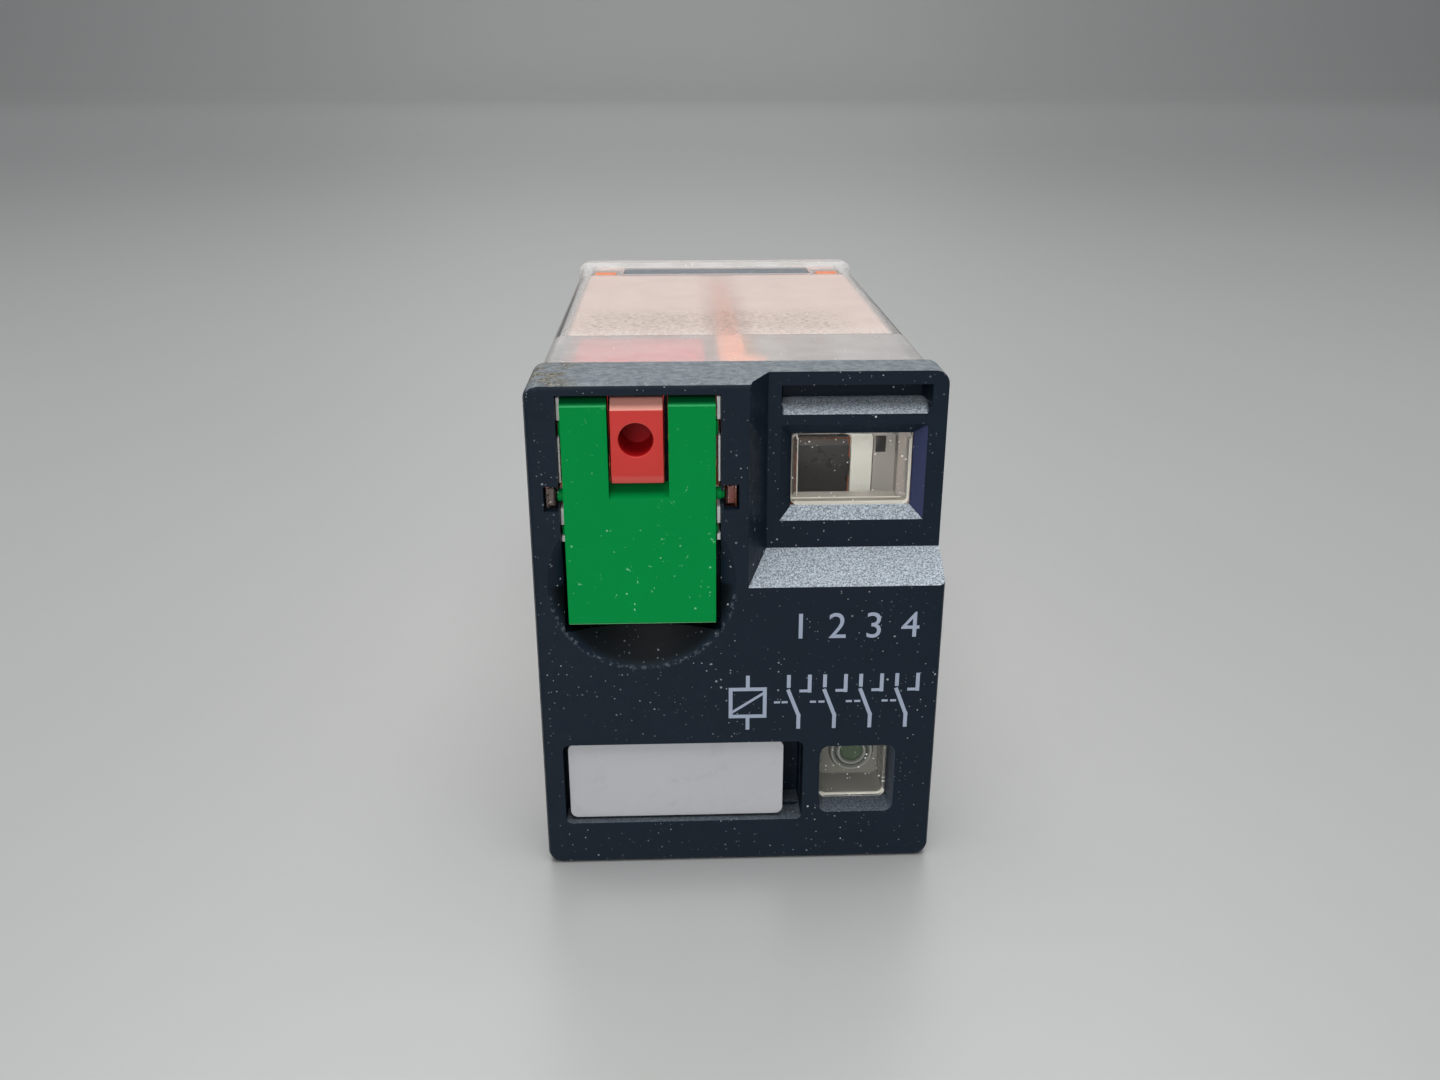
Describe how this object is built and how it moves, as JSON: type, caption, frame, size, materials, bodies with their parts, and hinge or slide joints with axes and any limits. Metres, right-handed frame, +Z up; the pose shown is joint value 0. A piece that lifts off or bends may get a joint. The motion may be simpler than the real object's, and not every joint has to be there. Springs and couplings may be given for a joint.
{
  "type": "plug-in control relay",
  "caption": "Plug-in miniature control relay with clear cover, lock-down test door, push test button, indicator flag and lamp.",
  "frame": {"origin": "middle of the underside of the relay's box, blades included", "axes": "front face towards -Y, blades towards +Y along the longest side, +Z up, X across the front"},
  "size_m": [0.021, 0.046, 0.027],
  "materials": {
    "dark_plastic": "satin",
    "clear_plastic": "gloss",
    "green_plastic": "satin",
    "red_plastic": "satin",
    "white_plastic": "satin",
    "orange_insulator": "satin",
    "black_plastic": "satin",
    "cream_plastic": "satin",
    "plated_iron": "satin",
    "copper": "satin",
    "copper_winding": "gloss",
    "tinned_brass": "satin",
    "silver_contact": "satin",
    "spring_steel": "satin",
    "yellow_tape": "gloss",
    "green_lamp": "gloss",
    "circuit_board": "satin",
    "resistor_body": "satin",
    "wire_insulation": "satin"
  },
  "bodies": {
    "housing": {"front_plate": "dark_plastic", "clear_cover": "clear_plastic", "terminal_base": "orange_insulator", "nc_terminal_1": "tinned_brass", "nc_terminal_2": "tinned_brass", "nc_terminal_3": "tinned_brass", "nc_terminal_4": "tinned_brass", "nc_contact_1": "silver_contact", "nc_contact_2": "silver_contact", "nc_contact_3": "silver_contact", "nc_contact_4": "silver_contact", "no_terminal_1": "tinned_brass", "no_terminal_2": "tinned_brass", "no_terminal_3": "tinned_brass", "no_terminal_4": "tinned_brass", "no_contact_1": "silver_contact", "no_contact_2": "silver_contact", "no_contact_3": "silver_contact", "no_contact_4": "silver_contact", "com_terminal_1": "tinned_brass", "com_terminal_2": "tinned_brass", "com_terminal_3": "tinned_brass", "com_terminal_4": "tinned_brass", "pigtail_1": "copper", "pigtail_2": "copper", "pigtail_3": "copper", "pigtail_4": "copper", "coil_terminal_1": "tinned_brass", "coil_terminal_2": "tinned_brass", "coil_lead_1": "copper_winding", "coil_lead_2": "copper_winding", "led_wire_1": "wire_insulation", "led_wire_2": "wire_insulation", "coil_bobbin": "black_plastic", "coil_winding": "copper_winding", "coil_tape": "yellow_tape", "core": "plated_iron", "shading_ring": "copper", "yoke": "plated_iron", "return_spring": "spring_steel", "led": "green_lamp", "led_board": "circuit_board", "led_resistor": "resistor_body", "led_diode": "black_plastic"},
    "armature": {"armature": "plated_iron", "contact_carrier": "orange_insulator", "position_flag": "black_plastic", "flag_marker": "cream_plastic", "moving_spring_1": "copper", "moving_spring_2": "copper", "moving_spring_3": "copper", "moving_spring_4": "copper", "moving_contact_1": "silver_contact", "moving_contact_2": "silver_contact", "moving_contact_3": "silver_contact", "moving_contact_4": "silver_contact"},
    "button": {"test_button": "red_plastic"},
    "door": {"test_door": "green_plastic"},
    "tab": {"legend_tab": "white_plastic"}
  },
  "joints": [
    {"name": "armature_hinge", "type": "hinge", "parent": "housing", "child": "armature", "pos_m": [0, -0.008, 0.004], "axis": [-1, 0, 0], "range_deg": [0, 4.5], "stiffness_Nm_per_rad": 0.05, "springref_deg": -5.73, "deforming": ["return_spring", "pigtail_1", "pigtail_2", "pigtail_3", "pigtail_4"]},
    {"name": "test_button_slide", "type": "slide", "parent": "housing", "child": "button", "axis": [0, 1, 0], "range_m": [0, 0.0013]},
    {"name": "test_door_hinge", "type": "hinge", "parent": "housing", "child": "door", "pos_m": [0, -0.02225, 0.02125], "axis": [-1, 0, 0], "range_deg": [0, 85]},
    {"name": "legend_tab_slide", "type": "slide", "parent": "housing", "child": "tab", "axis": [0, -1, 0], "range_m": [0, 0.003]}
  ],
  "couplings": [
    {"joint": "armature_hinge", "follows": "test_button_slide", "rad_per_m": 60.4}
  ]
}
